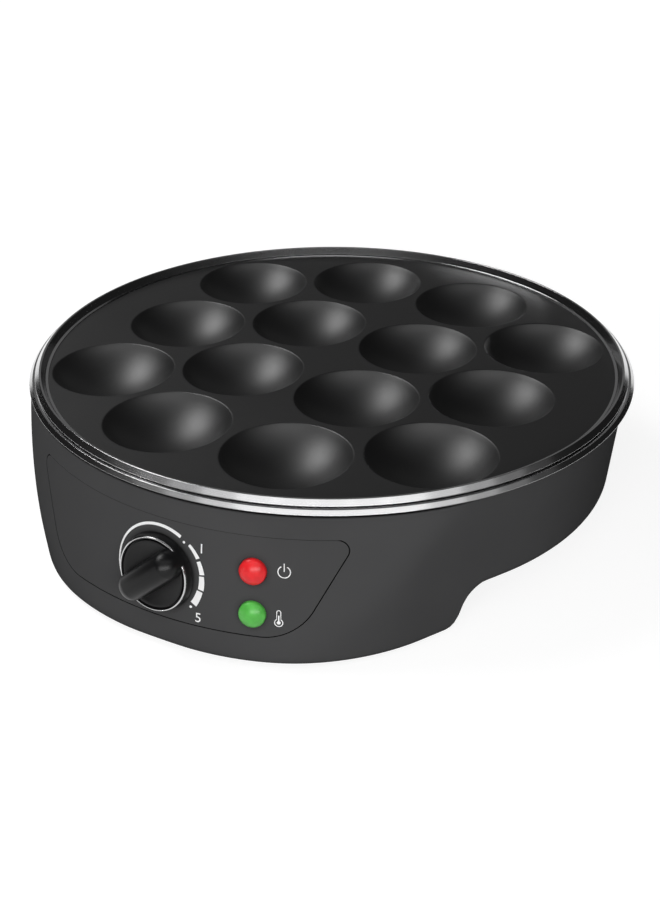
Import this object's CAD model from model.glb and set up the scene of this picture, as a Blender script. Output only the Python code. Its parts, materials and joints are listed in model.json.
"""Looks of an electric pancake maker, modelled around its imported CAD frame.

The frame is loaded first and stays as it is. Each operator below models or finishes one group of
visible pieces in the same metres and axes, and the stage operator adds floor, light and camera.
"""

import json
from math import acos, asin, atan2, cos, degrees, hypot, pi, radians, sin, sqrt, tan, tau

import bmesh
import bpy
from mathutils import Matrix, Vector


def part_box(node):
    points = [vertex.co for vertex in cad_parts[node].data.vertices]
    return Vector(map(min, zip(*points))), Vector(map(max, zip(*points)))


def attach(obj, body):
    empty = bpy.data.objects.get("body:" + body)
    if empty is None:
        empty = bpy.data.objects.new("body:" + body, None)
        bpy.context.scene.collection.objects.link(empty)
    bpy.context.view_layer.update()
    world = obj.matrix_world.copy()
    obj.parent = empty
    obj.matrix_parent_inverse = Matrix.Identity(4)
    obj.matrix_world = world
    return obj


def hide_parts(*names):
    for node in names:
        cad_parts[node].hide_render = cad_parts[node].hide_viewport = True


bl_info = {
    "name": "Pancake maker looks",
    "version": (1, 0, 0),
    "blender": (4, 5, 0),
    "location": "View3D > Sidebar > Pancake Maker",
    "description": "Models and finishes the visible pieces of an electric pancake maker",
    "category": "Add Mesh",
}

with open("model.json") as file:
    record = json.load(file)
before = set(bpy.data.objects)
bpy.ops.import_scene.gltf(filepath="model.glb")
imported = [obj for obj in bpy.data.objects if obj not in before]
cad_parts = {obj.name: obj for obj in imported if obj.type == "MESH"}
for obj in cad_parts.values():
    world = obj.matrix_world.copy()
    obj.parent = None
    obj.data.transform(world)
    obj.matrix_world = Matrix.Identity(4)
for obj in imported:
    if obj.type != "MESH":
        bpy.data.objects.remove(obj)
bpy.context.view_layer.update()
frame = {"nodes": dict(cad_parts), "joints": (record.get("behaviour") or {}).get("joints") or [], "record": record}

# Places read from the frame
MM = 0.001
RIM_LOW, RIM_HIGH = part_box("body_trim_ring")
AXIS_Y = (RIM_LOW.y + RIM_HIGH.y) / 2
RIM_RADIUS = (RIM_HIGH.x - RIM_LOW.x) / 2
PLATE_RADIUS = (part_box("cooking_plate")[1].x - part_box("cooking_plate")[0].x) / 2
PLATE_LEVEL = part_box("cooking_plate")[1].z
TOP_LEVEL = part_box("plate_trim_ring")[1].z
HOUSING_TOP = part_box("housing")[1].z
SOLE_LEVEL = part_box("housing")[0].z
ARCH_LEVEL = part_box("bottom_cover")[0].z
DIAL_PLACE = Vector(frame["joints"][0]["pos_m"])
DIAL_LEVEL = frame["joints"][0]["pos_m"][2]

# Clearance of a piece in its hole
FIT = 0.15 * MM

# The camera: its place, its turn, tilt and roll in degrees, its lens and its sensor in millimetres
EYE = Vector((0.3156, AXIS_Y - 0.5713, 0.384))
EYE_TURN, EYE_TILT, EYE_ROLL = 29.0, 60.97, -0.15
EYE_LENS, EYE_SENSOR = 57.04, 36.0

WHITE = (1.0, 1.0, 1.0, 1.0)


# Settings

def size(name, description, millimetres):
    """A length that a user may change."""
    return bpy.props.FloatProperty(
        name=name, description=description, default=millimetres * MM, min=0.0, precision=5,
        unit="LENGTH", subtype="DISTANCE",
    )


def angle(name, description, degrees):
    """An angle that a user may change."""
    return bpy.props.FloatProperty(
        name=name, description=description, default=radians(degrees), unit="ROTATION", subtype="ANGLE",
    )


def colour(name, description, default):
    """A colour that a user may change."""
    return bpy.props.FloatVectorProperty(
        name=name, description=description, default=default, size=3, min=0.0, max=1.0, subtype="COLOR",
    )


def share(name, description, default):
    """A plain number, such as a roughness or a strength."""
    return bpy.props.FloatProperty(name=name, description=description, default=default, min=0.0)


class MakerSizes(bpy.types.PropertyGroup):
    """Sizes of the modelled pieces."""

    drum_setback: size("Drum setback", "Setback of the round wall's top from the rim", 3.5)
    drum_draft: angle("Draft", "Taper of the round wall and the legs", 5.5)
    facet_lean: angle("Facet lean", "Lean of the front facet from upright", 9.0)
    crease_blend: size("Crease blend", "How softly the facet runs into a leg", 2.4)
    leg_out: size("Leg reach", "Reach of a leg beyond the rim", 10.0)
    leg_corner: size("Leg corner", "Radius of a leg's corner at the sole, from above", 104.0)
    leg_flat: size("Leg flat", "Flat stretch between a leg's corners", 22.0)
    leg_end: size("Leg end", "Distance from the axis to the end of a sole", 89.8)
    leg_end_lean: angle("Leg end lean", "Lean of a leg's end face from upright", 14.0)
    heel_round: size("Heel rounding", "Radius between sole and end face", 2.2)
    arch_round: size("Arch rounding", "Radius between end face and arch", 14.0)
    edge_round: size("Edge rounding", "Radius of the housing's lower edge", 4.5)
    wall: size("Wall", "Thickness of the housing's wall", 2.6)
    cover_radius: size("Cover radius", "Radius of the opening for the bottom cover", 133.6)
    cover_half: size("Cover half width", "Half the width of that opening", 62.15)

    panel_high: size("Panel top", "Height of the panel's top edge", 62.6)
    panel_low: size("Panel bottom", "Height of the panel's bottom edge", 16.6)
    panel_top_half: size("Panel top half width", "Half the panel's width at its top", 79.8)
    panel_low_half: size("Panel bottom half width", "Half the panel's width at its bottom", 70.4)
    panel_top_round: size("Panel top corners", "Radius of the panel's upper corners", 5.0)
    panel_low_round: size("Panel lower corners", "Radius of the panel's lower corners", 22.5)
    panel_thick: size("Panel thickness", "Thickness of the panel", 1.6)
    panel_gap: size("Panel gap", "Gap line around the panel", 0.45)

    cup_radius: size("Cup radius", "Radius of a cup at the plate's surface", 30.1)
    cup_depth: size("Cup depth", "Depth of a cup", 15.0)
    cup_pitch: size("Cup pitch", "Distance between neighbouring cups", 64.5)
    cup_turn: angle("Cup turn", "Turn of the cup pattern", -1.0)
    cup_lip: size("Cup lip", "Rounding of a cup's edge", 0.9)
    plate_thick: size("Plate thickness", "Thickness of the plate", 3.0)

    knob_radius: size("Knob radius", "Radius of the knob's skirt", 18.0)
    knob_height: size("Knob height", "Height of the grip above the panel", 15.0)
    skirt_top: size("Skirt top", "Height of the skirt's top above the panel", 4.4)
    knob_ring_radius: size("Knob ring radius", "Outer radius of the bright ring", 17.2)
    knob_ring_width: size("Knob ring width", "Width of the bright ring", 0.8)
    grip_width: size("Grip width", "Width of the grip at its foot", 13.8)
    grip_rest: angle("Grip at rest", "Direction of the grip's pointing end at rest", 221.0)

    lens_radius: size("Lens radius", "Radius of a lamp's lens", 6.0)
    lens_height: size("Lens height", "Height of a lens above the panel", 4.2)
    lamp_turn: angle("Lamp turn", "Turn of the lamps to the right of the dial", 16.4)
    power_lamp_level: size("Power lamp height", "Height of the upper lamp", 46.8)
    ready_lamp_level: size("Ready lamp height", "Height of the lower lamp", 27.0)

    dial_radius: size("Dial radius", "Outer radius of the printed dial", 22.6)
    print_lift: size("Print lift", "How far print stands off the panel", 0.05)


class MakerColours(bpy.types.PropertyGroup):
    """Colours of the finishes."""

    charcoal: colour("Charcoal", "Moulded housing and panel", (0.063, 0.063, 0.064))
    coating: colour("Coating", "Non-stick coating of the plate", (0.0015, 0.0015, 0.0017))
    bright: colour("Bright metal", "Polished trim", (0.56, 0.56, 0.565))
    knob_black: colour("Knob black", "Knob", (0.004, 0.004, 0.0043))
    red: colour("Red lens", "Upper lamp", (0.70, 0.018, 0.022))
    green: colour("Green lens", "Lower lamp", (0.085, 0.43, 0.065))
    ink: colour("Print", "Printed marks", (0.90, 0.90, 0.90))


class MakerStage(bpy.types.PropertyGroup):
    """Floor and light."""

    floor: colour("Floor", "Pale floor", (0.30, 0.30, 0.30))
    lift: share("Floor lift", "How far the floor near the object is lifted to white where it is seen", 0.83)
    far_lift: share("Far floor lift", "The same for the floor far off, which less light reaches", 1.0)
    world: share("World light", "Strength of the even light all round", 0.015)
    key: share("Key light", "Power of the soft light high on the left, in watts", 7.8)
    bank: share("Light bank", "Brightness of the middle of the panels above the front", 1.58)
    front: share("Front light", "Power of the wide light beside the camera, in watts", 14.0)
    spot: share("Knob spot", "Power of the narrow light that the knob mirrors, in watts", 30.0)
    back: share("Back card", "Power of the dim wide light behind, which the plate mirrors, in watts", 1.0)


# Modelling helpers

def deselect_all():
    """Nothing selected, in object mode, so the next operator meets only its own piece."""
    if bpy.context.object is not None and bpy.context.object.mode != "OBJECT":
        bpy.ops.object.mode_set(mode="OBJECT")
    bpy.ops.object.select_all(action="DESELECT")


def pick(piece):
    """Makes one piece the only selected and active one."""
    deselect_all()
    piece.select_set(True)
    bpy.context.view_layer.objects.active = piece


def edit(piece, *steps):
    """Runs edit-mode steps on the whole of a piece."""
    pick(piece)
    bpy.ops.object.mode_set(mode="EDIT")
    bpy.ops.mesh.select_all(action="SELECT")
    for step in steps:
        step()
    bpy.ops.object.mode_set(mode="OBJECT")


def merge_doubles():
    bpy.ops.mesh.remove_doubles(threshold=0.01 * MM)


def face_outwards():
    bpy.ops.mesh.normals_make_consistent(inside=False)


def add_modifier(piece, kind, **values):
    """Adds a modifier with its values and applies it."""
    pick(piece)
    bpy.ops.object.modifier_add(type=kind)
    modifier = piece.modifiers[-1]
    for key, value in values.items():
        setattr(modifier, key, value)
    bpy.ops.object.modifier_apply(modifier=modifier.name)


def cut_away(piece, cutter):
    """Cuts one closed form out of a piece and removes the cutter."""
    add_modifier(piece, "BOOLEAN", operation="DIFFERENCE", solver="EXACT", object=cutter)
    bpy.data.objects.remove(cutter)


def join(name, pieces):
    """Joins pieces into the first one."""
    deselect_all()
    for piece in pieces:
        piece.select_set(True)
    bpy.context.view_layer.objects.active = pieces[0]
    bpy.ops.object.join()
    pieces[0].name = name
    return pieces[0]


def named(name):
    """The piece that an operator has just added, under its own name."""
    piece = bpy.context.object
    piece.name = name
    return piece


def laid_grid(name, across, along, place):
    """A grid laid on a surface: place(u, v) gives each point, with u and v from 0 to 1."""
    deselect_all()
    bpy.ops.mesh.primitive_grid_add(x_subdivisions=across, y_subdivisions=along, size=2)
    piece = named(name)
    for vertex in piece.data.vertices:
        vertex.co = place((vertex.co.x + 1) / 2, (vertex.co.y + 1) / 2)
    return piece


def spun(name, profile, steps, closed=True):
    """A profile of (radius, height) points, spun about the Z axis."""
    deselect_all()
    bpy.ops.mesh.primitive_circle_add(vertices=len(profile), fill_type="NOTHING")
    piece = named(name)
    for vertex, (radius, height) in zip(piece.data.vertices, profile):
        vertex.co = (radius, 0, height)
    if not closed:
        ends = {0, len(profile) - 1}
        shape = bmesh.new()
        shape.from_mesh(piece.data)
        closing = [edge for edge in shape.edges if {vertex.index for vertex in edge.verts} == ends]
        bmesh.ops.delete(shape, geom=closing, context="EDGES_FACES")
        shape.to_mesh(piece.data)
        shape.free()

    def turn():
        bpy.ops.mesh.spin(steps=steps, angle=tau, center=(0, 0, 0), axis=(0, 0, 1))

    edit(piece, turn, merge_doubles, face_outwards)
    return piece


def fill_open(wires=False):
    """Fills between the edges that border one face or, with wires, none."""
    bpy.ops.mesh.select_all(action="DESELECT")
    bpy.ops.mesh.select_mode(type="EDGE")
    bpy.ops.mesh.select_non_manifold(
        extend=False, use_wire=wires, use_boundary=True, use_multi_face=False, use_non_contiguous=False,
        use_verts=False)
    bpy.ops.mesh.fill(use_beauty=True)
    bpy.ops.mesh.select_all(action="SELECT")


def evenly(first, last, steps):
    """Values from first to last at even steps."""
    return [first + (last - first) * i / steps for i in range(steps + 1)]


def polar(radius, degrees):
    """The flat point at a radius and an angle."""
    turn = radians(degrees)
    return radius * cos(turn), radius * sin(turn)


def arc(centre, radius, start, end, steps):
    """Points on an arc, from one angle to another in degrees."""
    points = [polar(radius, turn) for turn in evenly(start, end, steps)]
    return [(centre[0] + x, centre[1] + y) for x, y in points]


def around(radius, bearing, z):
    """A point about the plate's axis; bearing 0 is the front."""
    return Vector((radius * sin(bearing), AXIS_Y - radius * cos(bearing), z))


def held(points, margin=0.06 * MM):
    """A closed section with points added close to its corners, so that flat faces shade flat."""
    result = []
    for here, there in zip(points, points[1:] + points[:1]):
        result.append(here)
        start, run = Vector(here), Vector(there) - Vector(here)
        if run.length > 6 * margin:
            step = margin / run.length
            result += [tuple(start + step * run), tuple(start + (1 - step) * run)]
    return result


def finish_piece(piece, body, slot, replaced=(), smooth=32.0, look=None):
    """Smooths a piece, gives it the finish of its slot or look and ties it to its CAD body."""
    pick(piece)
    bpy.ops.object.shade_smooth_by_angle(angle=radians(smooth))
    piece.data.materials.clear()
    piece.data.materials.append(finish(look or slot))
    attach(piece, body)
    if replaced:
        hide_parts(*replaced)


# Forms

def facet_radius(sizes, z):
    """Radius of the leaning front facet at a height."""
    return RIM_RADIUS + (HOUSING_TOP - z) * tan(sizes.facet_lean)


class HousingForm:
    """The housing's surfaces as formulas: round wall, legs, webs, facet and underside."""

    def __init__(self, sizes):
        self.sizes = sizes
        self.top_radius = RIM_RADIUS - sizes.drum_setback
        self.reach = RIM_RADIUS + sizes.leg_out
        self.corner = Vector((sizes.leg_flat / 2, self.reach - sizes.leg_corner))
        self.corner_turn = atan2(self.corner.x, self.corner.y)
        lean = sizes.leg_end_lean
        heel, hollow = sizes.heel_round, sizes.arch_round
        self.heel = Vector((sizes.leg_end, SOLE_LEVEL + heel))
        run = (ARCH_LEVEL - hollow - self.heel.y + (heel + hollow) * sin(lean)) / cos(lean)
        self.hollow = Vector((
            sizes.leg_end - (heel + hollow) * cos(lean) - run * sin(lean), ARCH_LEVEL - hollow))
        self.slope_low = self.heel.x - heel * cos(lean)
        self.slope_high = self.hollow.x + hollow * cos(lean)

    def drum(self, z):
        """Radius of the round wall at a height."""
        return self.top_radius - (HOUSING_TOP - z) * tan(self.sizes.drum_draft)

    def leg(self, turn, z, inset=0.0):
        """Radius of the leg block and its web at a turn from the nearer leg's middle."""
        spread = (z - SOLE_LEVEL) * tan(self.sizes.drum_draft) - inset
        corner_r, reach = self.sizes.leg_corner + spread, self.reach + spread
        drum = self.drum(z) - inset
        web_turn = self.corner_turn + acos((drum - corner_r) / self.corner.length)
        if turn <= atan2(self.corner.x, reach):
            return reach / cos(turn)
        web_foot = self.corner + corner_r * Vector((sin(web_turn), cos(web_turn)))
        if turn <= atan2(web_foot.x, web_foot.y):
            along = self.corner.dot(Vector((sin(turn), cos(turn))))
            return along + sqrt(corner_r ** 2 - self.corner.length_squared + along ** 2)
        if turn <= web_turn:
            return drum / cos(turn - web_turn)
        return drum

    def wall(self, turn, z, inset=0.0, facet_inset=0.0):
        """Radius of the outer wall, with a soft crease where the facet ends."""
        body = max(self.drum(z) - inset, self.leg(turn, z, inset))
        facet = facet_radius(self.sizes, z) - facet_inset
        blend = self.sizes.crease_blend
        near = max(blend - abs(body - facet), 0.0)
        return min(body, facet) - near * near / (4 * blend)

    def underside(self, y):
        """Height of the underside at a distance from the middle, front to back."""
        heel, hollow, lean = self.sizes.heel_round, self.sizes.arch_round, self.sizes.leg_end_lean
        if y >= self.heel.x:
            return SOLE_LEVEL
        if y >= self.slope_low:
            return self.heel.y - sqrt(heel ** 2 - (self.heel.x - y) ** 2)
        if y >= self.slope_high:
            return self.heel.y - heel * sin(lean) + (self.slope_low - y) / tan(lean)
        if y >= self.hollow.x:
            return self.hollow.y + sqrt(hollow ** 2 - (y - self.hollow.x) ** 2)
        return ARCH_LEVEL

    def underside_levels(self):
        """Distances from the middle where the underside bends."""
        return evenly(self.heel.x, self.slope_low, 5) + evenly(self.slope_high, self.hollow.x, 5)

    def edge(self, turn, inset=0.0, facet_inset=0.0, lift=0.0):
        """Where the wall meets the underside, found by going nearer in small rounds."""
        z, rounds = SOLE_LEVEL, 48
        for _ in range(rounds):
            radius = self.wall(turn, z, inset, facet_inset)
            z = (z + self.underside(radius * cos(turn)) + lift) / 2
        return self.wall(turn, z, inset, facet_inset), z

    def under_path(self, turn, start, lift):
        """The underside's section from a start radius in to the opening for the cover."""
        across = max(cos(turn), 1e-6)
        end = min(self.sizes.cover_radius, self.sizes.cover_half / across)
        radii = [max(min(level / across, start), end) for level in self.underside_levels()]
        radii += evenly(radii[-1], end, 3)[1:]
        return [(radius, self.underside(radius * across) + lift) for radius in radii]

    def section(self, turn):
        """The closed section of the shell at a turn: outside, under, and back up inside."""
        sizes = self.sizes
        wall_in, facet_in = sizes.wall, sizes.wall + sizes.panel_thick
        shoulder, probe, longest = 0.9 * MM, 0.5 * MM, 1.2 * sizes.edge_round
        ledge_width, ledge_thick = 5 * MM, 7 * MM
        outer_rows, bend_steps, inner_rows = 46, 8, 14
        bore, ledge = PLATE_RADIUS + FIT, PLATE_RADIUS - ledge_width
        plate_under = PLATE_LEVEL - sizes.plate_thick
        ledge_under = plate_under - ledge_thick
        high = HOUSING_TOP - shoulder
        points = [(bore, HOUSING_TOP)]
        points += arc((self.wall(turn, high) - shoulder, high), shoulder, 90, 15, 4)
        corner_r, corner_z = self.edge(turn)
        slope = (self.underside((corner_r - probe) * cos(turn)) - corner_z) / probe
        opening = acos(slope / hypot(1, slope))
        reach = min(sizes.edge_round / tan(opening / 2), longest)
        points += [(self.wall(turn, z), z) for z in evenly(high, corner_z + reach, outer_rows)]
        under_r = corner_r - reach / hypot(1, slope)
        ends = (points[-1], (corner_r, corner_z), (under_r, self.underside(under_r * cos(turn))))
        for i in range(1, bend_steps + 1):
            t = i / bend_steps
            weights = ((1 - t) ** 2, 2 * t * (1 - t), t ** 2)
            points.append(tuple(sum(w * p[k] for w, p in zip(weights, ends)) for k in (0, 1)))
        points += self.under_path(turn, under_r, 0.0)
        inner_r, inner_z = self.edge(turn, wall_in, facet_in, wall_in)
        points += reversed(self.under_path(turn, inner_r, wall_in))
        for z in evenly(inner_z, ledge_under, inner_rows):
            points.append((self.wall(turn, z, wall_in, facet_in), z))
        points += [(ledge, ledge_under), (ledge, plate_under), (bore, plate_under)]
        return points


class PanelForm:
    """The control panel's outline and the leaning cone that it lies on."""

    # Share of a gap around the outline that its top edge gets
    top_share = 0.3

    def __init__(self, sizes):
        self.sizes = sizes
        self.top = Vector((
            sizes.panel_top_half - sizes.panel_top_round, sizes.panel_high - sizes.panel_top_round))
        self.low = Vector((
            sizes.panel_low_half - sizes.panel_low_round, sizes.panel_low + sizes.panel_low_round))
        between = self.top - self.low
        lean = acos((sizes.panel_low_round - sizes.panel_top_round) / between.length)
        turn = atan2(between.y, between.x) - lean
        self.side = Vector((cos(turn), sin(turn)))

    def half_width(self, z, grow):
        """Half the outline's width at a height."""
        top_r, low_r = self.sizes.panel_top_round + grow, self.sizes.panel_low_round + grow
        if z >= self.top.y + top_r * self.side.y:
            return self.top.x + sqrt(max(top_r ** 2 - (z - self.top.y) ** 2, 0.0))
        if z <= self.low.y + low_r * self.side.y:
            return self.low.x + sqrt(max(low_r ** 2 - (z - self.low.y) ** 2, 0.0))
        return (self.side.dot(self.top) + top_r - self.side.y * z) / self.side.x

    def point(self, u, v, grow, out):
        """A point of the outline's area, laid on the cone and moved out from it."""
        lean = self.sizes.facet_lean
        high, low = self.sizes.panel_high + self.top_share * grow, self.sizes.panel_low - grow
        z = low + (high - low) * (1 - cos(pi * v)) / 2
        radius = facet_radius(self.sizes, z)
        bearing = asin((2 * u - 1) * self.half_width(z, grow) / radius)
        return around(radius + out * cos(lean), bearing, z + out * sin(lean))

    def wrapped(self, turn, level, x, y, out):
        """A flat drawing's point wrapped on the cone about a place on it."""
        z = level + y * cos(self.sizes.facet_lean)
        bearing = turn + x / facet_radius(self.sizes, level)
        return around(facet_radius(self.sizes, z) + out, bearing, z)

    def seat(self, turn, level):
        """The frame of a piece that stands on the panel: X along, Y up and Z out of it."""
        place = Matrix.Translation((0, -facet_radius(self.sizes, level), level))
        tilt = Matrix.Rotation(pi / 2 - self.sizes.facet_lean, 4, "X")
        return Matrix.Translation((0, AXIS_Y, 0)) @ Matrix.Rotation(turn, 4, "Z") @ place @ tilt


def settings():
    """The scene's sizes, colours and stage settings."""
    scene = bpy.context.scene
    return scene.maker_sizes, scene.maker_colours, scene.maker_stage


# Finishes

def add_node(tree, kind, inputs=None, **traits):
    """Adds a shader node with its traits and the plain values of its inputs."""
    node = tree.nodes.new("ShaderNode" + kind)
    for trait, value in traits.items():
        setattr(node, trait, value)
    for socket, value in (inputs or {}).items():
        node.inputs[socket].default_value = value
    return node


def add_range(tree, source, target, **traits):
    """Adds a node that maps one (low, high) range to another."""
    limits = {"From Min": source[0], "From Max": source[1], "To Min": target[0], "To Max": target[1]}
    return add_node(tree, "MapRange", limits, **traits)


def link_all(tree, *links):
    """Makes links, each given as a node, its output, the next node and its input."""
    for source, output, target, entry in links:
        tree.links.new(source.outputs[output], target.inputs[entry])


def grain_group():
    """Fine surface grain: a height for bump, a mottle for colour and a spread for roughness."""
    name = "Surface grain"
    if name in bpy.data.node_groups:
        return bpy.data.node_groups[name]
    group = bpy.data.node_groups.new(name, "ShaderNodeTree")
    for socket, value in (("Grain Scale", 900.0), ("Cloud Scale", 18.0)):
        entry = group.interface.new_socket(socket, in_out="INPUT", socket_type="NodeSocketFloat")
        entry.default_value = value
    for socket in ("Height", "Mottle", "Spread"):
        group.interface.new_socket(socket, in_out="OUTPUT", socket_type="NodeSocketFloat")
    enter, leave = group.nodes.new("NodeGroupInput"), group.nodes.new("NodeGroupOutput")
    place = add_node(group, "TexCoord")
    fine = add_node(group, "TexNoise", {"Detail": 3.0, "Roughness": 0.55})
    soft = add_node(group, "TexNoise", {"Detail": 4.0})
    spread = add_node(group, "Math", operation="MULTIPLY")
    link_all(
        group,
        (place, "Object", fine, "Vector"), (enter, "Grain Scale", fine, "Scale"),
        (place, "Object", soft, "Vector"), (enter, "Cloud Scale", soft, "Scale"),
        (fine, "Fac", spread, 0), (soft, "Fac", spread, 1),
        (fine, "Fac", leave, "Height"), (soft, "Fac", leave, "Mottle"), (spread, "Value", leave, "Spread"))
    return group


def grained_finish(name, base, roughness, grain, bump, vary, cloud=18.0, gaps=0.0, **plain):
    """A material with the shared grain in its colour, roughness and bump.

    roughness and vary are (low, high) pairs: the roughness range and the colour's shade range.
    With gaps, narrow gaps and corners of that width are darkened.
    """
    if name in bpy.data.materials:
        return bpy.data.materials[name]
    mottle_range, spread_range, relief_depth = (0.3, 0.7), (0.1, 0.45), 0.1 * MM
    material = bpy.data.materials.new(name)
    material.use_nodes = True
    tree = material.node_tree
    shader = tree.nodes["Principled BSDF"]
    for socket, value in plain.items():
        shader.inputs[socket.replace("_", " ")].default_value = value
    texture = add_node(tree, "Group", {"Grain Scale": grain, "Cloud Scale": cloud}, node_tree=grain_group())
    shade = add_range(tree, mottle_range, vary)
    tint = add_node(
        tree, "Mix", {"Factor": 1.0, "A": (*base, 1.0)}, data_type="RGBA", blend_type="MULTIPLY")
    polish = add_range(tree, spread_range, roughness)
    relief = add_node(tree, "Bump", {"Strength": bump, "Distance": relief_depth})
    shaded = (tint, "Result")
    if gaps:
        corner = add_node(tree, "AmbientOcclusion", {"Distance": gaps}, samples=8)
        link_all(tree, (*shaded, corner, "Color"))
        shaded = (corner, "Color")
    link_all(
        tree,
        (texture, "Mottle", shade, "Value"), (shade, "Result", tint, "B"), (*shaded, shader, "Base Color"),
        (texture, "Spread", polish, "Value"), (polish, "Result", shader, "Roughness"),
        (texture, "Height", relief, "Height"), (relief, "Normal", shader, "Normal"))
    return material


MATT = {"gaps": 3 * MM, "Specular_IOR_Level": 0.0}
SHEEN = {"Specular_IOR_Level": 0.92}
SATIN = {"Specular_IOR_Level": 0.22}
METAL = {"Metallic": 1.0}
LENS = {"cloud": 260.0, "Emission_Strength": 0.1, "Specular_IOR_Level": 0.35}

# By slot: name, colour or its setting, roughness range, grain, bump, shade range and the rest
FINISHES = {
    "housing_plastic": ("Charcoal plastic", "charcoal", (0.48, 0.56), 1400.0, 0.10, (0.94, 1.06), MATT),
    "panel_plastic": ("Panel plastic", "charcoal", (0.46, 0.52), 1600.0, 0.06, (0.95, 1.03), MATT),
    "nonstick": ("Non-stick coating", "coating", (0.42, 0.50), 1100.0, 0.06, (0.9, 1.1), SHEEN),
    "chrome_trim": ("Polished chrome", "bright", (0.13, 0.16), 2500.0, 0.004, (0.97, 1.0), METAL),
    "knob_plastic": ("Knob black", "knob_black", (0.30, 0.36), 1800.0, 0.02, (0.9, 1.1), SATIN),
    "print_ink": ("Print ink", "ink", (0.5, 0.6), 2000.0, 0.02, (0.96, 1.0), {}),
    "red_lens": ("Red lens", "red", (0.28, 0.36), 500.0, 0.10, (0.82, 1.1), LENS),
    "green_lens": ("Green lens", "green", (0.28, 0.36), 500.0, 0.10, (0.82, 1.1), LENS),
    "steel": ("Steel", (0.5, 0.5, 0.51), (0.28, 0.4), 900.0, 0.05, (0.9, 1.0), METAL),
    "sheet_aluminium": ("Sheet aluminium", (0.7, 0.71, 0.72), (0.3, 0.42), 700.0, 0.04, (0.93, 1.0), METAL),
    "copper": ("Copper", (0.72, 0.38, 0.24), (0.25, 0.38), 800.0, 0.04, (0.85, 1.0), METAL),
    "brass": ("Brass", (0.75, 0.56, 0.24), (0.25, 0.36), 800.0, 0.04, (0.9, 1.0), METAL),
    "ceramic": ("Ceramic", (0.8, 0.77, 0.69), (0.2, 0.3), 600.0, 0.03, (0.94, 1.0), {}),
    "nylon": ("Nylon", (0.78, 0.77, 0.73), (0.45, 0.55), 900.0, 0.06, (0.95, 1.0), {}),
    "rubber": ("Rubber", (0.014, 0.014, 0.014), (0.7, 0.85), 1200.0, 0.2, (0.85, 1.15), {}),
}


def finish(slot):
    """The finish of a slot; a lens also glows a little of its own colour."""
    name, base, roughness, grain, bump, vary, rest = FINISHES[slot]
    if isinstance(base, str):
        base = getattr(settings()[1], base)
    if rest is LENS:
        rest = {**LENS, "Emission_Color": (*base, 1.0)}
    return grained_finish(name, base, roughness, grain, bump, vary, **rest)


# Operators

class MAKER_OT_housing(bpy.types.Operator):
    """Model the moulded housing: round wall, legs, arches and the leaning facet"""

    bl_idname = "maker.housing"
    bl_label = "Housing"

    columns = 440
    recess_under, recess_over = 1.6 * MM, 2 * MM
    hole_half = 14 * MM
    inlet_level, inlet_radius = 38 * MM, 6.15 * MM

    def execute(self, context):
        sizes = settings()[0]
        form = HousingForm(sizes)
        bearings = evenly(0.0, tau, self.columns)
        sections = []
        for bearing in bearings:
            turn = abs((degrees(bearing) + 90) % 180 - 90)
            sections.append(form.section(radians(turn)))
        rows = len(sections[0])

        def place(u, v):
            column = round(u * self.columns)
            radius, z = sections[column][round(v * rows) % rows]
            return around(radius, bearings[column], z)

        shell = laid_grid("housing_shell", self.columns, rows, place)
        edit(shell, merge_doubles, face_outwards)
        panel = PanelForm(sizes)
        depth = sizes.panel_thick + self.recess_under
        cut_away(shell, panel_solid(panel, "panel_recess", sizes.panel_gap, -depth, self.recess_over))
        inlet = (pi, self.inlet_level, self.inlet_radius)
        for turn, level, radius in (*openings(sizes), inlet):
            cut_away(shell, seat_cylinder(panel, turn, level, radius, self.hole_half))
        finish_piece(shell, "base", "housing_plastic", ["housing"])
        return {"FINISHED"}


def openings(sizes):
    """Holes that the shaft's collar and the lenses pass through: turn, height and radius."""
    collar, lens = 5.15 * MM, sizes.lens_radius + FIT
    return (
        (0.0, DIAL_LEVEL, collar),
        (sizes.lamp_turn, sizes.power_lamp_level, lens),
        (sizes.lamp_turn, sizes.ready_lamp_level, lens),
    )


def seat_cylinder(panel, turn, level, radius, half):
    """A round cutter that stands through the facet."""
    deselect_all()
    bpy.ops.mesh.primitive_cylinder_add(vertices=64, radius=radius, depth=2 * half)
    cutter = bpy.context.object
    cutter.data.transform(panel.seat(turn, level))
    return cutter


def panel_solid(panel, name, grow, low, high):
    """The panel's outline as a solid between two depths."""
    piece = laid_grid(name, across=96, along=48, place=lambda u, v: panel.point(u, v, grow, high))
    edit(piece, merge_doubles)
    add_modifier(piece, "SOLIDIFY", thickness=high - low, offset=-1.0, use_even_offset=False)
    edit(piece, face_outwards)
    return piece


class MAKER_OT_control_panel(bpy.types.Operator):
    """Model the thin panel that is let into the facet"""

    bl_idname = "maker.control_panel"
    bl_label = "Control panel"

    edge_round = 0.35 * MM
    hole_half = 5 * MM

    def execute(self, context):
        sizes = settings()[0]
        form = PanelForm(sizes)
        panel = panel_solid(form, "panel_skin", 0.0, -sizes.panel_thick, 0.0)
        add_modifier(
            panel, "BEVEL", width=self.edge_round, segments=3, limit_method="ANGLE",
            angle_limit=radians(50))
        for turn, level, radius in openings(sizes):
            cut_away(panel, seat_cylinder(form, turn, level, radius, self.hole_half))
        finish_piece(panel, "base", "panel_plastic", ["control_panel"])
        return {"FINISHED"}


def cup_places(sizes):
    """Middles of the cups: two long columns between two short ones, turned a little."""
    pitch = sizes.cup_pitch
    side = pitch * (1 + sqrt(3)) / 2
    middles = [(x * pitch, y * pitch) for x in (-0.5, 0.5) for y in (-1.5, -0.5, 0.5, 1.5)]
    middles += [(sign * side, y * pitch) for sign in (-1, 1) for y in (-1, 0, 1)]
    turn = Matrix.Rotation(sizes.cup_turn, 2)
    return [turn @ Vector(middle) for middle in middles]


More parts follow.
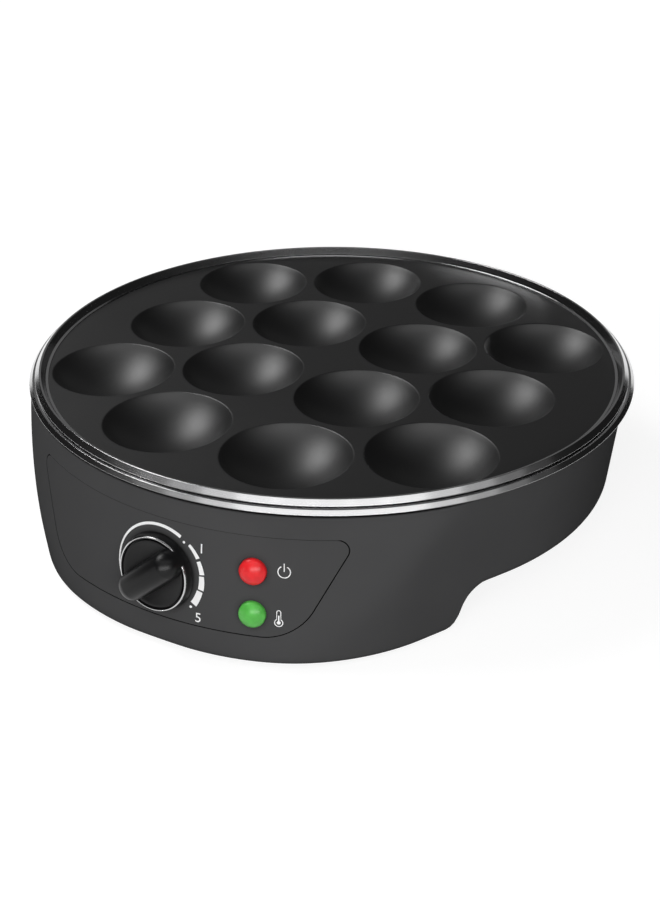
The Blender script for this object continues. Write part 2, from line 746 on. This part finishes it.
def cup_skin(sizes):
    """One cup as a spun skin: a flat edge, a rounded lip and a hollow of one sphere."""
    flat_edge = 0.7 * MM
    lip = sizes.cup_lip
    ball = (sizes.cup_radius ** 2 + sizes.cup_depth ** 2) / (2 * sizes.cup_depth)
    centre = PLATE_LEVEL + ball - sizes.cup_depth
    lip_r = sqrt((ball + lip) ** 2 - (centre - PLATE_LEVEL + lip) ** 2)
    meet = degrees(atan2(centre - PLATE_LEVEL + lip, -lip_r))
    profile = [(lip_r + flat_edge, PLATE_LEVEL)]
    profile += arc((lip_r, PLATE_LEVEL - lip), lip, 90, meet, 5)
    profile += arc((0, centre), ball, meet - 180, -90, 18)[1:]
    return spun("cup", profile, steps=80, closed=False)


class MAKER_OT_cooking_plate(bpy.types.Operator):
    """Model the cast plate with its dished cups"""

    bl_idname = "maker.cooking_plate"
    bl_label = "Cooking plate"

    border_gap = 0.1 * MM

    def execute(self, context):
        sizes = settings()[0]
        cup = cup_skin(sizes)
        pieces = []
        for x, y in cup_places(sizes):
            copy = cup.copy()
            copy.data = cup.data.copy()
            copy.data.transform(Matrix.Translation((x, AXIS_Y + y, 0)))
            context.collection.objects.link(copy)
            pieces.append(copy)
        bpy.data.objects.remove(cup)
        border_r = PLATE_RADIUS - self.border_gap
        deselect_all()
        bpy.ops.mesh.primitive_circle_add(
            vertices=256, radius=border_r, location=(0, AXIS_Y, PLATE_LEVEL), fill_type="NOTHING")
        border = bpy.context.object
        bpy.ops.object.transform_apply(location=True)
        plate = join("plate_casting", [border] + pieces)
        edit(plate, lambda: fill_open(wires=True), face_upwards)
        add_modifier(plate, "SOLIDIFY", thickness=sizes.plate_thick, offset=-1.0, use_even_offset=False)
        finish_piece(plate, "base", "nonstick", ["cooking_plate"])
        return {"FINISHED"}


def face_upwards():
    """Turns the skin's faces up, judged by its largest face, which is part of the flat."""
    face_outwards()
    shape = bmesh.from_edit_mesh(bpy.context.object.data)
    largest = max(shape.faces, key=lambda face: face.calc_area())
    if largest.normal.z < 0:
        bpy.ops.mesh.flip_normals()


def upper_ring_section():
    """Section of the upper ring: a flat foot, a steep inner side, a narrow crest and a leaning face."""
    low_in, low_out = PLATE_RADIUS - 0.6 * MM, RIM_RADIUS - 4.4 * MM
    side, groove = RIM_RADIUS - 2.5 * MM, PLATE_LEVEL + 1.2 * MM
    face, crest = 2.2 * MM, 0.2 * MM
    edge = TOP_LEVEL - face
    slope_low = low_in + 1.3 * MM
    points = [(low_in, PLATE_LEVEL), (low_out, PLATE_LEVEL), (low_out, groove)]
    points.append((side - 0.6 * MM, edge - 0.6 * MM))
    points += arc((side - crest, edge), crest, -45, 45, 4)
    points += arc((side - face - 0.1 * MM, TOP_LEVEL - crest), crest, 45, 90, 3)
    points += arc((slope_low + 2.05 * MM, TOP_LEVEL - crest), crest, 90, 152, 4)
    points.append((slope_low + 0.1 * MM, PLATE_LEVEL + 0.55 * MM))
    points.append((slope_low - 0.1 * MM, PLATE_LEVEL + 0.4 * MM))
    points.append((low_in, PLATE_LEVEL + 0.35 * MM))
    return points


def lower_ring_section():
    """Section of the lower ring: a flat base, a leaning face and an undercut below it."""
    base_in, bead_in = PLATE_RADIUS + FIT, RIM_RADIUS - 3 * MM
    rim, high = RIM_RADIUS + 0.4 * MM, PLATE_LEVEL + 0.8 * MM
    face, crest = 1.75 * MM, 0.15 * MM
    edge = high - face
    points = [(base_in, HOUSING_TOP), (bead_in, HOUSING_TOP)]
    points.append((RIM_RADIUS - 1.7 * MM, HOUSING_TOP + 0.5 * MM))
    points += arc((rim - crest, edge), crest, -50, 45, 4)
    points += arc((rim - face, high - crest), crest, 45, 90, 3)
    points += [(bead_in, high), (bead_in, PLATE_LEVEL), (base_in, PLATE_LEVEL)]
    return points


class MAKER_OT_trim_rings(bpy.types.Operator):
    """Model the two polished rings around the plate"""

    bl_idname = "maker.trim_rings"
    bl_label = "Trim rings"

    steps = 288

    def execute(self, context):
        upper = ("upper_ring", upper_ring_section(), "plate_trim_ring")
        lower = ("lower_ring", lower_ring_section(), "body_trim_ring")
        for name, profile, node in (upper, lower):
            ring = spun(name, held(profile), self.steps)
            ring.data.transform(Matrix.Translation((0, AXIS_Y, 0)))
            finish_piece(ring, "base", "chrome_trim", [node], smooth=40.0)
        return {"FINISHED"}


def knob_ring_section(sizes):
    """Section of the bright ring."""
    outer = sizes.knob_ring_radius
    inner = outer - sizes.knob_ring_width
    foot, crest = sizes.skirt_top, sizes.knob_ring_width / 2
    middle = (outer + inner) / 2
    return [(inner, foot), (outer, foot)] + arc((middle, foot + 0.3 * MM), crest, 0, 180, 10)


def skirt_section(sizes):
    """Section of the skirt and the dished face, with the ring's seat between them."""
    bore, chamfer, dish = 4.0 * MM, 0.3 * MM, 52 * MM
    outer, top = sizes.knob_radius, sizes.skirt_top
    low, lip, groove = 0.6 * MM, top - 0.1 * MM, top - 0.8 * MM
    ring_out = sizes.knob_ring_radius
    ring_in = ring_out - sizes.knob_ring_width
    face_r, face_z = ring_in - 1.0 * MM, top + 0.5 * MM
    edge = face_r - chamfer
    points = [(bore, low), (outer - chamfer, low), (outer, low + chamfer)]
    points += arc((ring_out - 0.1 * MM, top - 0.4 * MM), 0.4 * MM, 10, 90, 4)
    points += [(ring_in, top), (ring_in - 0.15 * MM, lip), (ring_in - 0.4 * MM, groove)]
    points += [(face_r + chamfer, groove), (face_r + 0.05 * MM, lip)]
    points += [(face_r, face_z - 0.1 * MM), (edge, face_z)]
    for radius in evenly(edge, bore, 10)[1:]:
        points.append((radius, face_z - (edge ** 2 - radius ** 2) / (2 * dish)))
    return points


def grip_form(sizes):
    """The grip: a long bar with round ends, drawn in a little and rounded over its back."""
    draft, rounding, end_drop = 0.5 * MM, 7.0 * MM, 2.8 * MM
    half, width = sizes.knob_radius, sizes.grip_width / 2
    foot, back = sizes.skirt_top - 0.6 * MM, sizes.knob_height
    shoulder = back - rounding
    rows = list(zip(evenly(0.0, draft, 4), evenly(foot, shoulder, 4)))
    for turn in evenly(0.0, pi / 2, 10)[1:]:
        inset = draft + (width - draft) * (1 - cos(turn))
        rows.append((inset, shoulder + rounding * sin(turn)))
    straight = half - width

    def place(u, v):
        inset, z = rows[round(v * (len(rows) - 1))]
        turn = tau * u
        radius = width - inset
        side = 1 if cos(turn) >= 0 else -1
        x = side * straight + radius * cos(turn)
        drop = end_drop * (x / half) ** 2 * (z - foot) / (back - foot)
        return Vector((x, radius * sin(turn), z - drop))

    grip = laid_grid("grip", across=96, along=len(rows) - 1, place=place)
    edit(grip, merge_doubles, fill_open, face_outwards)
    return grip


class MAKER_OT_knob(bpy.types.Operator):
    """Model the knob: skirt, bright ring, dished face and grip"""

    bl_idname = "maker.knob"
    bl_label = "Knob"

    def execute(self, context):
        sizes = settings()[0]
        seat = PanelForm(sizes).seat(0.0, DIAL_LEVEL)
        skirt = spun("knob_skirt", skirt_section(sizes), steps=128)
        grip = grip_form(sizes)
        grip.data.transform(Matrix.Rotation(sizes.grip_rest, 4, "Z"))
        knob = join("knob_body", [skirt, grip])
        knob.data.transform(seat)
        finish_piece(knob, "dial", "knob_plastic", ["knob"], smooth=40.0)
        ring = spun("knob_bright_ring", knob_ring_section(sizes), steps=160)
        ring.data.transform(seat)
        finish_piece(ring, "dial", "chrome_trim", ["knob_ring"], smooth=50.0)
        return {"FINISHED"}


def lens_section(sizes):
    """Section of a lens: flange behind the wall, barrel, and a dome in front."""
    radius, height = sizes.lens_radius, sizes.lens_height
    side = 0.35 * height
    dome = height - side
    ball = (radius ** 2 + dome ** 2) / (2 * dome)
    start = degrees(asin((ball - dome) / ball))
    back, flange, flange_r = 7.1 * MM, 5.1 * MM, radius + 2 * MM
    points = [(0.0, -back), (flange_r, -back), (flange_r, -flange), (radius, -flange)]
    points += [(radius, 0.0), (radius, 0.8 * side)]
    points += arc((0, height - ball), ball, start + 2.5, 90, 14)
    return points


class MAKER_OT_lamps(bpy.types.Operator):
    """Model the two domed lenses"""

    bl_idname = "maker.lamps"
    bl_label = "Lamps"

    def execute(self, context):
        sizes = settings()[0]
        red = ("red_lens", "power_lamp_lens", sizes.power_lamp_level)
        green = ("green_lens", "ready_lamp_lens", sizes.ready_lamp_level)
        for slot, node, level in (red, green):
            lens = spun(slot + "_dome", lens_section(sizes), steps=72)
            lens.data.transform(PanelForm(sizes).seat(sizes.lamp_turn, level))
            finish_piece(lens, "base", slot, [node], smooth=50.0)
        return {"FINISHED"}


# Print on the panel

FILM, NUMBER_SIZE = 0.04 * MM, 6.4 * MM


def printed(name, outline, turn, level):
    """A flat closed outline filled, thickened and wrapped on the panel."""
    deselect_all()
    bpy.ops.mesh.primitive_circle_add(vertices=len(outline), fill_type="NGON")
    mark = named(name)
    for vertex, (x, y) in zip(mark.data.vertices, outline):
        vertex.co = (x, y, 0)
    wrap_print(mark, turn, level)
    return mark


def wrap_print(mark, turn, level):
    """Lays a flat drawing on the panel as a thin film."""
    sizes = settings()[0]
    panel = PanelForm(sizes)
    edit(mark, triangulate)
    for vertex in mark.data.vertices:
        vertex.co = panel.wrapped(turn, level, vertex.co.x, vertex.co.y, sizes.print_lift)
    shape = bmesh.new()
    shape.from_mesh(mark.data)
    outward = Vector((sin(turn), -cos(turn), 0))
    for face in shape.faces:
        if face.normal.dot(outward) < 0:
            face.normal_flip()
    shape.to_mesh(mark.data)
    shape.free()
    add_modifier(mark, "SOLIDIFY", thickness=FILM, offset=1.0, use_even_offset=False)


def triangulate():
    bpy.ops.mesh.quads_convert_to_tris()


def band(inner, outer, start, end, steps):
    """Outline of part of a ring; the inner and outer radii run from first to last value."""
    turns = evenly(start, end, steps)
    inside = [polar(radius, turn) for radius, turn in zip(evenly(*inner, steps), turns)]
    outside = [polar(radius, turn) for radius, turn in zip(evenly(*outer, steps), turns)]
    return outside + inside[::-1]


def dot(centre, radius):
    """Outline of a dot of 24 points."""
    return arc(centre, radius, 0, 360, 24)[:-1]


def upright(half, low, high):
    """Outline of an upright bar about the middle."""
    return [(-half, low), (half, low), (half, high), (-half, high)]


def printed_number(character, x, y):
    """A plain number on the panel."""
    deselect_all()
    bpy.ops.object.text_add()
    text = bpy.context.object
    text.data.body = character
    text.data.size = NUMBER_SIZE
    text.data.align_x = "LEFT"
    text.data.resolution_u = 6
    bpy.ops.object.convert(target="MESH")
    mark = bpy.context.object
    mark.data.transform(Matrix.Translation((x, y, 0)))
    edit(mark, merge_doubles)
    wrap_print(mark, 0.0, DIAL_LEVEL)
    return mark


class MAKER_OT_dial_print(bpy.types.Operator):
    """Print the dial's scale: a tapered arc, dots, growing blocks and two numbers"""

    bl_idname = "maker.dial_print"
    bl_label = "Dial print"

    blocks = ((47.0, 28.4), (25.0, 8.3), (6.3, -11.2), (-13.4, -33.2))
    block_width, block_growth = 1.4 * MM, 0.45 * MM
    dots = ((20.6 * MM, 53.6), (21.0 * MM, -38.6))
    dot_radius = 0.62 * MM
    numbers = (("1", 19.2 * MM, 15.6 * MM), ("5", 18.4 * MM, -17.4 * MM))
    number_drop = 2.3 * MM

    def execute(self, context):
        outer = settings()[0].dial_radius
        sweep = band((outer - 0.5 * MM, outer - 2.0 * MM), (outer, outer - 0.4 * MM), 222, 60.6, 60)
        marks = [printed("dial_sweep", sweep, 0.0, DIAL_LEVEL)]
        for i, (start, end) in enumerate(self.blocks):
            first = self.block_width + self.block_growth * i
            last = self.block_width + self.block_growth * (i + 1)
            inner = (outer - first - 0.2 * MM, outer - last + 0.1 * MM)
            shape = band(inner, (outer - 0.2 * MM, outer + 0.1 * MM), start, end, 8)
            marks.append(printed("dial_block", shape, 0.0, DIAL_LEVEL))
        for radius, turn in self.dots:
            marks.append(printed("dial_dot", dot(polar(radius, turn), self.dot_radius), 0.0, DIAL_LEVEL))
        for character, x, y in self.numbers:
            marks.append(printed_number(character, x, y - self.number_drop))
        scale = join("dial_scale", marks)
        finish_piece(scale, "base", "panel_plastic", look="print_ink")
        return {"FINISHED"}


def power_outlines():
    """Outlines of an open ring and a bar."""
    radius, line = 2.9 * MM, 0.45 * MM
    ring = band((radius - line, radius - line), (radius, radius), 118, 422, 40)
    return {"power_ring": ring, "power_bar": upright(line / 2, 0.2 * MM, 3.9 * MM)}


def heat_outlines():
    """Outlines of a thermometer's edge, its core and its stem."""
    line, core_r, stem_half = 0.38 * MM, 0.85 * MM, 0.3 * MM
    bulb_r, tube_r = 1.95 * MM, 1.05 * MM
    bulb, top = (0.0, -2.0 * MM), (0.0, 2.9 * MM)
    reach = degrees(acos(tube_r / bulb_r))

    def outline(shrink):
        low = arc(bulb, bulb_r - shrink, 180 - reach, 360 + reach, 28)
        return low + arc(top, tube_r - shrink, 0, 180, 12)

    outside, inside = outline(0.0), outline(line)
    edge = outside + outside[:1] + inside[:1] + inside[::-1]
    stem = upright(stem_half, -1.6 * MM, 1.4 * MM)
    return {"heat_edge": edge, "heat_core": dot(bulb, core_r), "heat_stem": stem}


class MAKER_OT_symbols(bpy.types.Operator):
    """Print the power and thermometer symbols beside the lamps"""

    bl_idname = "maker.symbols"
    bl_label = "Lamp symbols"

    # Turn to the right of the dial in degrees, and height
    places = ((21.4, 47.7 * MM), (20.6, 26.0 * MM))

    def execute(self, context):
        marks = []
        for outlines, (turn, level) in zip((power_outlines(), heat_outlines()), self.places):
            marks += [printed(name, shape, radians(turn), level) for name, shape in outlines.items()]
        symbols = join("lamp_symbols", marks)
        finish_piece(symbols, "base", "panel_plastic", look="print_ink")
        return {"FINISHED"}


class MAKER_OT_cad_finishes(bpy.types.Operator):
    """Give the CAD pieces that stay in view their finishes"""

    bl_idname = "maker.cad_finishes"
    bl_label = "CAD finishes"

    def execute(self, context):
        for piece in frame["record"]["subparts"]:
            for holder in frame["nodes"][piece["node"]].material_slots:
                holder.material = finish(piece["material_slot"])
        return {"FINISHED"}


def set_world(stage):
    """Dim even light from all round."""
    world = bpy.data.worlds.new("Even light")
    world.use_nodes = True
    background = world.node_tree.nodes["Background"]
    background.inputs["Color"].default_value = WHITE
    background.inputs["Strength"].default_value = stage.world
    bpy.context.scene.world = world


def add_lamp(kind, name, place, power):
    """A light of a kind at a place."""
    deselect_all()
    bpy.ops.object.light_add(type=kind, location=place)
    lamp = named(name)
    lamp.data.energy = power
    return lamp


def mirrored_spot(bearing, height):
    """Where the camera's sight, mirrored by the ring's face at a bearing, reaches a height."""
    out = Vector((sin(bearing), -cos(bearing), 0))
    point = Vector((0, AXIS_Y, TOP_LEVEL)) + RIM_RADIUS * out
    face = (out + Vector((0, 0, 1))).normalized()
    ray = (point - EYE).reflect(face)
    return point + ray * (height - point.z) / ray.z


def set_camera(context):
    """The camera, set to see the object as the reference does."""
    deselect_all()
    bpy.ops.object.camera_add(location=EYE)
    camera = bpy.context.object
    turn = Matrix.Rotation(radians(EYE_TURN), 3, "Z")
    tilt = Matrix.Rotation(radians(EYE_TILT), 3, "X")
    roll = Matrix.Rotation(radians(EYE_ROLL), 3, "Z")
    camera.rotation_euler = (turn @ tilt @ roll).to_euler()
    camera.data.lens = EYE_LENS
    camera.data.sensor_width = EYE_SENSOR
    camera.data.sensor_fit = "AUTO"
    context.scene.camera = camera


def add_floor(stage):
    """A floor that keeps shadows and is lifted to white where it is seen or mirrored."""
    width, reach = 30, (0.2, 0.8)
    deselect_all()
    bpy.ops.mesh.primitive_plane_add(size=width)
    floor = named("floor")
    material = bpy.data.materials.new("Pale floor")
    material.use_nodes = True
    tree = material.node_tree
    shader = tree.nodes["Principled BSDF"]
    shader.inputs["Base Color"].default_value = (*stage.floor, 1.0)
    shader.inputs["Roughness"].default_value = 0.9
    shader.inputs["Emission Color"].default_value = WHITE
    ray = add_node(tree, "LightPath")
    mirrored = add_node(tree, "Math", operation="MAXIMUM")
    seen = add_node(tree, "Math", operation="MAXIMUM")
    lift = add_node(tree, "Math", operation="MULTIPLY")
    place = add_node(tree, "TexCoord")
    distance = add_node(tree, "VectorMath", operation="LENGTH")
    fade = add_range(tree, reach, (stage.lift, stage.far_lift), interpolation_type="SMOOTHSTEP")
    link_all(
        tree,
        (place, "Object", distance, 0), (distance, "Value", fade, "Value"), (fade, "Result", lift, 1),
        (ray, "Is Glossy Ray", mirrored, 0), (ray, "Is Transmission Ray", mirrored, 1),
        (ray, "Is Camera Ray", seen, 0), (mirrored, "Value", seen, 1), (seen, "Value", lift, 0),
        (lift, "Value", shader, "Emission Strength"))
    floor.data.materials.append(material)


def add_area(name, power, place, height, shape, bearing=None):
    """An area light aimed at the plate; a bearing gives the direction of its long side from above."""
    aim = Vector((0, AXIS_Y, 0.07))
    middle = Vector((place[0], AXIS_Y + place[1], height))
    lamp = add_lamp("AREA", name, middle, power)
    lamp.data.shape = "RECTANGLE"
    lamp.data.size, lamp.data.size_y = shape
    back = (middle - aim).normalized()
    if bearing is None:
        lamp.rotation_euler = back.to_track_quat("Z", "Y").to_euler()
    else:
        along = Vector((*polar(1.0, bearing), 0))
        along = (along - along.dot(back) * back).normalized()
        lamp.rotation_euler = Matrix((along, back.cross(along), back)).transposed().to_euler()


def add_spot(stage):
    """A narrow soft light from low at the left front, aimed at the knob."""
    place, radius, cone = Vector((-0.75, AXIS_Y - 1.05, 0.13)), 0.11, 2.8
    lamp = add_lamp("SPOT", "Knob spot", place, stage.spot)
    lamp.data.shadow_soft_size = radius
    lamp.data.spot_size = radians(cone)
    lamp.data.spot_blend = 1.0
    back = place - DIAL_PLACE
    lamp.rotation_euler = back.to_track_quat("Z", "Y").to_euler()


def add_bank(stage):
    """A bent row of panels where the rings' leaning front faces mirror them, fading out to both sides."""
    panels, edge, even, falloff = 15, 46.0, 13.0, 2.5
    height, width = 1.0, 0.30
    middle = degrees(atan2(EYE.x, AXIS_Y - EYE.y))
    step = 2 * edge / panels
    spots = [mirrored_spot(radians(middle - edge + step * i), height) for i in range(panels + 1)]
    for i, (start, end) in enumerate(zip(spots, spots[1:])):
        fade = min((edge - abs(step * (i + 0.5) - edge)) / (edge - even), 1.0) ** falloff
        run = end - start
        place = (start + end) / 2 - Vector((0, AXIS_Y, 0))
        power = pi * stage.bank * fade * run.length * width
        bearing = degrees(atan2(run.y, run.x))
        add_area("Bank panel", power, (place.x, place.y), height, (run.length, width), bearing)


class MAKER_OT_stage(bpy.types.Operator):
    """Set the pale floor, the studio light and the camera"""

    bl_idname = "maker.stage"
    bl_label = "Stage"

    def execute(self, context):
        stage = settings()[2]
        add_floor(stage)
        set_world(stage)
        add_area("Key light", stage.key, place=(-0.73, -0.12), height=1.0, shape=(0.80, 0.45), bearing=119.0)
        add_bank(stage)
        add_area("Front light", stage.front, place=(0.60, -1.12), height=0.50, shape=(1.4, 0.4))
        add_spot(stage)
        add_area("Back card", stage.back, place=(-0.73, 1.31), height=0.95, shape=(2.2, 1.0))
        set_camera(context)
        context.scene.view_settings.view_transform = "Standard"
        return {"FINISHED"}


OPERATORS = (
    MAKER_OT_housing, MAKER_OT_control_panel, MAKER_OT_cooking_plate, MAKER_OT_trim_rings, MAKER_OT_knob,
    MAKER_OT_lamps, MAKER_OT_dial_print, MAKER_OT_symbols, MAKER_OT_cad_finishes, MAKER_OT_stage,
)


class MAKER_PT_sidebar(bpy.types.Panel):
    """Lists the pieces and their settings"""

    bl_label = "Pancake Maker"
    bl_idname = "MAKER_PT_sidebar"
    bl_space_type = "VIEW_3D"
    bl_region_type = "UI"
    bl_category = "Pancake Maker"

    def draw(self, context):
        layout = self.layout
        for operator in OPERATORS:
            layout.operator(operator.bl_idname)
        for group in settings():
            box = layout.box()
            for key in group.__annotations__:
                box.prop(group, key)


GROUPS = {"maker_sizes": MakerSizes, "maker_colours": MakerColours, "maker_stage": MakerStage}
CLASSES = (*GROUPS.values(), *OPERATORS, MAKER_PT_sidebar)


def register():
    for cls in CLASSES:
        bpy.utils.register_class(cls)
    for key, group in GROUPS.items():
        setattr(bpy.types.Scene, key, bpy.props.PointerProperty(type=group))


def unregister():
    for key in GROUPS:
        delattr(bpy.types.Scene, key)
    for cls in reversed(CLASSES):
        bpy.utils.unregister_class(cls)


def main():
    """Builds every piece in order and notes the CAD box and the dressed box."""
    register()
    bpy.ops.maker.stage()
    bpy.ops.maker.cad_finishes()
    bpy.ops.maker.housing()
    bpy.ops.maker.control_panel()
    bpy.ops.maker.cooking_plate()
    bpy.ops.maker.trim_rings()
    bpy.ops.maker.knob()
    bpy.ops.maker.lamps()
    bpy.ops.maker.dial_print()
    bpy.ops.maker.symbols()


if __name__ == "__main__":
    main()
